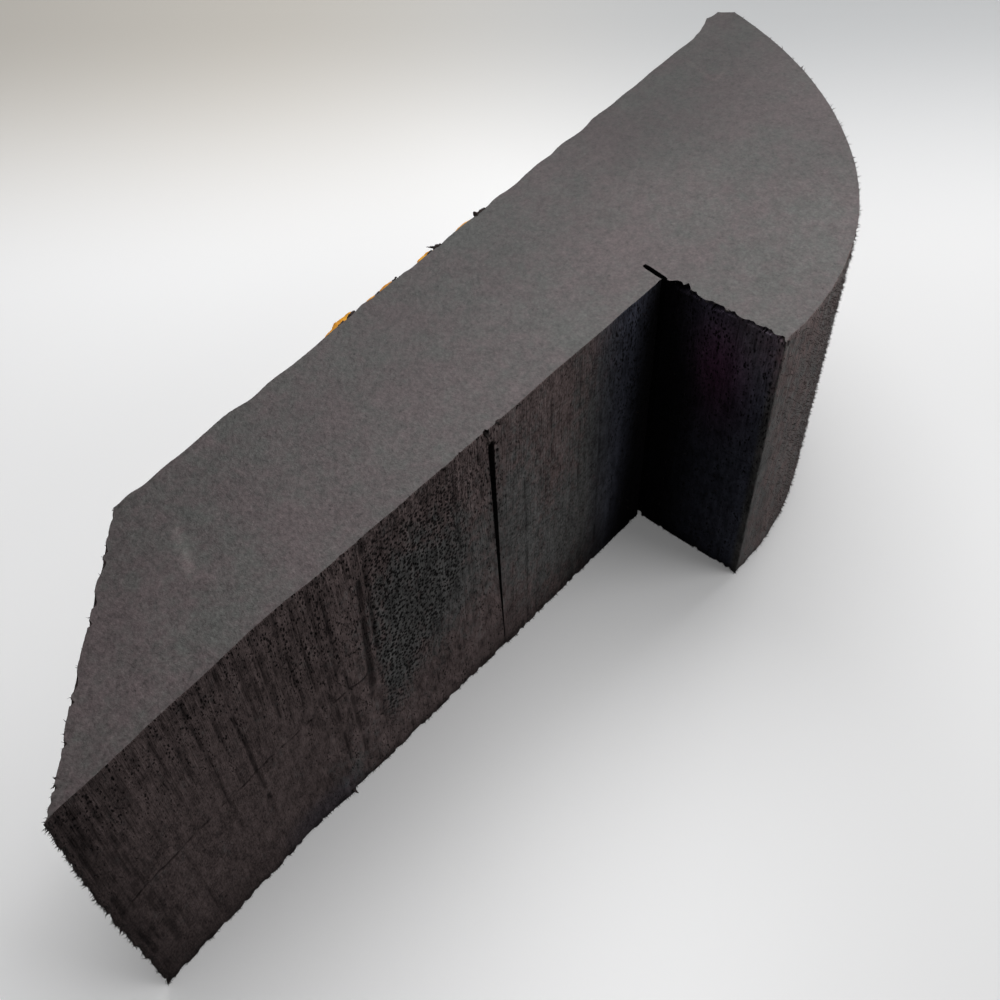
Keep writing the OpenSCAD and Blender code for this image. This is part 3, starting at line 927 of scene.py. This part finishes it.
# ----------------------------------------
# Glue: dried amber contact cement, left along the top of the back face when the block was pulled
# off its neighbour. It lies in lumpy runs that thin out downwards over the torn cells.
# ----------------------------------------

# Runs, in mm: x from the middle at both ends, how thick they are, and how far down they reach
RUNS = [(-28.8, -18.0, 1.05, 12), (-24.5, -15.4, 1.75, 15), (-12.2, -7.6, 0.80, 7),
        (-7.2, -1.0, 1.05, 10), (6.4, 13.4, 1.15, 9), (21.0, 28.4, 0.75, 6),
        (-24.0, -18.0, 0.7, 24), (9.0, 11.5, 0.6, 15)]
GLUE_PITCH = 0.35                       # of its mesh, in mm
GLUE_BED = 1.6 * MM                     # how far it reaches into the block
GLUE_SUNK = 0.35                        # how deep its surface is set, in mm, which frays its edges

x, z = np.meshgrid(np.arange(29.5, -30, -GLUE_PITCH) * MM,
                   np.arange(PLANK - 28 * MM, PLANK - 0.1 * MM, GLUE_PITCH * MM))
spot = x + 1                            # no place for the waves lies below 0
lumps = 1 + 0.20 * wander(spot, z, 1.1 * MM, 1.1 * MM, 72)
thick = np.full_like(x, -1.0)
for left, right, high, down in RUNS:
    half = (right - left) / 2
    across = (x / MM - (left + right) / 2) / half
    across = across + 0.25 * wander(spot, z, 2.5 * MM, 2.5 * MM, int(down) + 70)
    below = (PLANK - z) / (down * MM) + 0.30 * wander(spot, z, 1.8 * MM, 3 * MM, int(down) + 80)
    cap = np.clip(1 - across**2, 0, 1) ** 0.6 * np.clip(1 - np.clip(below, 0, 1) ** 2, 0, 1)
    thick = np.maximum(thick, high * cap * lumps - GLUE_SUNK)
back_at = [np.abs(along - (BACK + BACK_X - v)).argmin() for v in x[0]]
row_at = [np.abs(rows - v).argmin() for v in z[:, 0]]
face_y = wall[np.ix_(row_at, back_at)][..., 1]
outer = np.stack([x, face_y + thick * MM, z], -1)
inner = np.stack([x, face_y - GLUE_BED, z], -1)
grid = np.arange(x.size).reshape(x.shape)
front = np.stack([grid[:-1, :-1], grid[:-1, 1:], grid[1:, 1:], grid[1:, :-1]], -1).reshape(-1, 4)
rim = np.concatenate([grid[0, :-1], grid[:-1, -1], grid[-1, :0:-1], grid[:0:-1, 0]])
sides = np.stack([rim, np.roll(rim, -1), np.roll(rim, -1) + grid.size, rim + grid.size], -1)
points = np.concatenate([outer.reshape(-1, 3), inner.reshape(-1, 3)])
faces = np.concatenate([front, (front + grid.size)[:, ::-1], sides])
glue = placed("dried_glue", closed_mesh("dried_glue", points.tolist(), faces.tolist()))


def glue_tree(tree):
    """Amber rubber, shiny on its humps and brown where it is thin or has foam stuck to it."""
    place = Flow.node(tree, "ShaderNodeTexCoord")["Object"]
    cloud = waves(place, 3 * MM, seed=61)
    speck = between(waves(place, 0.7 * MM, seed=62), 0.35, 0.8)
    amber = blend(tree, between(cloud, -0.7, 0.7), (0.82, 0.38, 0.015, 1), (0.60, 0.23, 0.012, 1))
    colour = blend(tree, speck, amber, (0.05, 0.03, 0.02, 1))
    rough = 0.42 + 0.4 * speck
    return {"Base Color": colour, "Roughness": rough}, cloud - 0.5 * speck, 0.10 * MM


glue.data.materials.append(finish("dried_glue", glue_tree))
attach(glue, "root")
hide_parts("glue_residue")

# ----------------------------------------
# Floor and light: a plain pale table under soft lamps from the front right, the right and above.
# Towards the back and the right the table is painted a little darker, a painted shade as by a
# window, and for the camera it glows a little, a painted light that lifts its shadows.
# ----------------------------------------

FLOOR_HALF = 4.0
# Place, width and watts of each lamp
LAMPS = {"window": ((0.42, -0.66, 0.42), 0.6, 3.0), "side": ((0.80, 0.00, 0.42), 0.5, 2.6),
         "ceiling": ((0.24, 0.16, 0.50), 0.4, 2.0)}

floor = placed("floor", bpy.data.meshes.new("floor"))
floor.data.from_pydata([(x * FLOOR_HALF, y * FLOOR_HALF, 0)
                        for x, y in ((-1, -1), (1, -1), (1, 1), (-1, 1))], [], [(0, 1, 2, 3)])
material = bpy.data.materials.new("floor")
material.use_nodes = True
tree = material.node_tree
tree.nodes.clear()
seen = Flow.node(tree, "ShaderNodeLightPath")["Is Camera Ray"]
place = Flow.node(tree, "ShaderNodeSeparateXYZ", None,
                  {"Vector": Flow.node(tree, "ShaderNodeTexCoord")["Object"]})
x, y = place["X"] - CAMERA_PLACE[0], place["Y"] - CAMERA_PLACE[1]
far = x * math.cos(CAMERA_TURN) + y * math.sin(CAMERA_TURN)
aside = x * math.sin(CAMERA_TURN) - y * math.cos(CAMERA_TURN)
# Painted shade: the table's colour darkens towards the back and the right
dusk = between(far, 0.34, 0.52)
side = between(aside, -0.02, 0.14)
far_tint = blend(tree, between(aside, -0.12, 0.12), (0.97, 0.92, 0.84, 1), (0.92, 0.935, 0.95, 1))
painted = blend(tree, dusk, (0.945, 0.945, 0.95, 1), far_tint)
lit = (1 - 0.47 * dusk) * (1 - 0.25 * side * (1 - 0.4 * dusk))
lit = lit * (1 - 0.10 * between(far, 0.16, 0.30))
shown = blend(tree, seen, (0.30, 0.30, 0.30, 1), scaled(painted, lit))
diffuse = Flow.node(tree, "ShaderNodeBsdfDiffuse", None, {"Color": shown})
# Painted glow, seen only by the camera, weaker towards the back
painted_glow = Flow.node(tree, "ShaderNodeEmission", None,
                 {"Color": blend(tree, dusk, (1, 1, 1, 1), (0.5, 0.5, 0.5, 1))})
surface = Flow.node(tree, "ShaderNodeMixShader", None, {"Fac": seen * 0.07, 1: diffuse, 2: painted_glow})
Flow.node(tree, "ShaderNodeOutputMaterial", None, {"Surface": surface})
floor.data.materials.append(material)

# Dim air all round, brighter towards the window, which looks pale itself
world = bpy.data.worlds.new("studio")
bpy.context.scene.world = world
world.use_nodes = True
tree = world.node_tree
tree.nodes.clear()
towards = Flow.node(tree, "ShaderNodeVectorMath", {"operation": "DOT_PRODUCT"},
                    {0: Flow.node(tree, "ShaderNodeTexCoord")["Generated"],
                     1: Vector((0.9, -0.1, 0.5)).normalized()})["Value"]
air = 0.28 + 0.20 * towards
seen = Flow.node(tree, "ShaderNodeLightPath")["Is Camera Ray"]
sky = Flow.node(tree, "ShaderNodeBackground", None,
                {"Color": (1, 1, 1, 1), "Strength": air + seen * (0.7 - air)})
Flow.node(tree, "ShaderNodeOutputWorld", None, {"Surface": sky})

for name, (place, width, watts) in LAMPS.items():
    lamp = placed(name, bpy.data.lights.new(name, "AREA"))
    lamp.data.shape = "DISK"
    lamp.data.size = width
    lamp.data.energy = watts
    lamp.location = place
    lamp.rotation_euler = (-Vector(place)).to_track_quat("-Z", "Y").to_euler()

bpy.context.scene.view_settings.view_transform = "Standard"
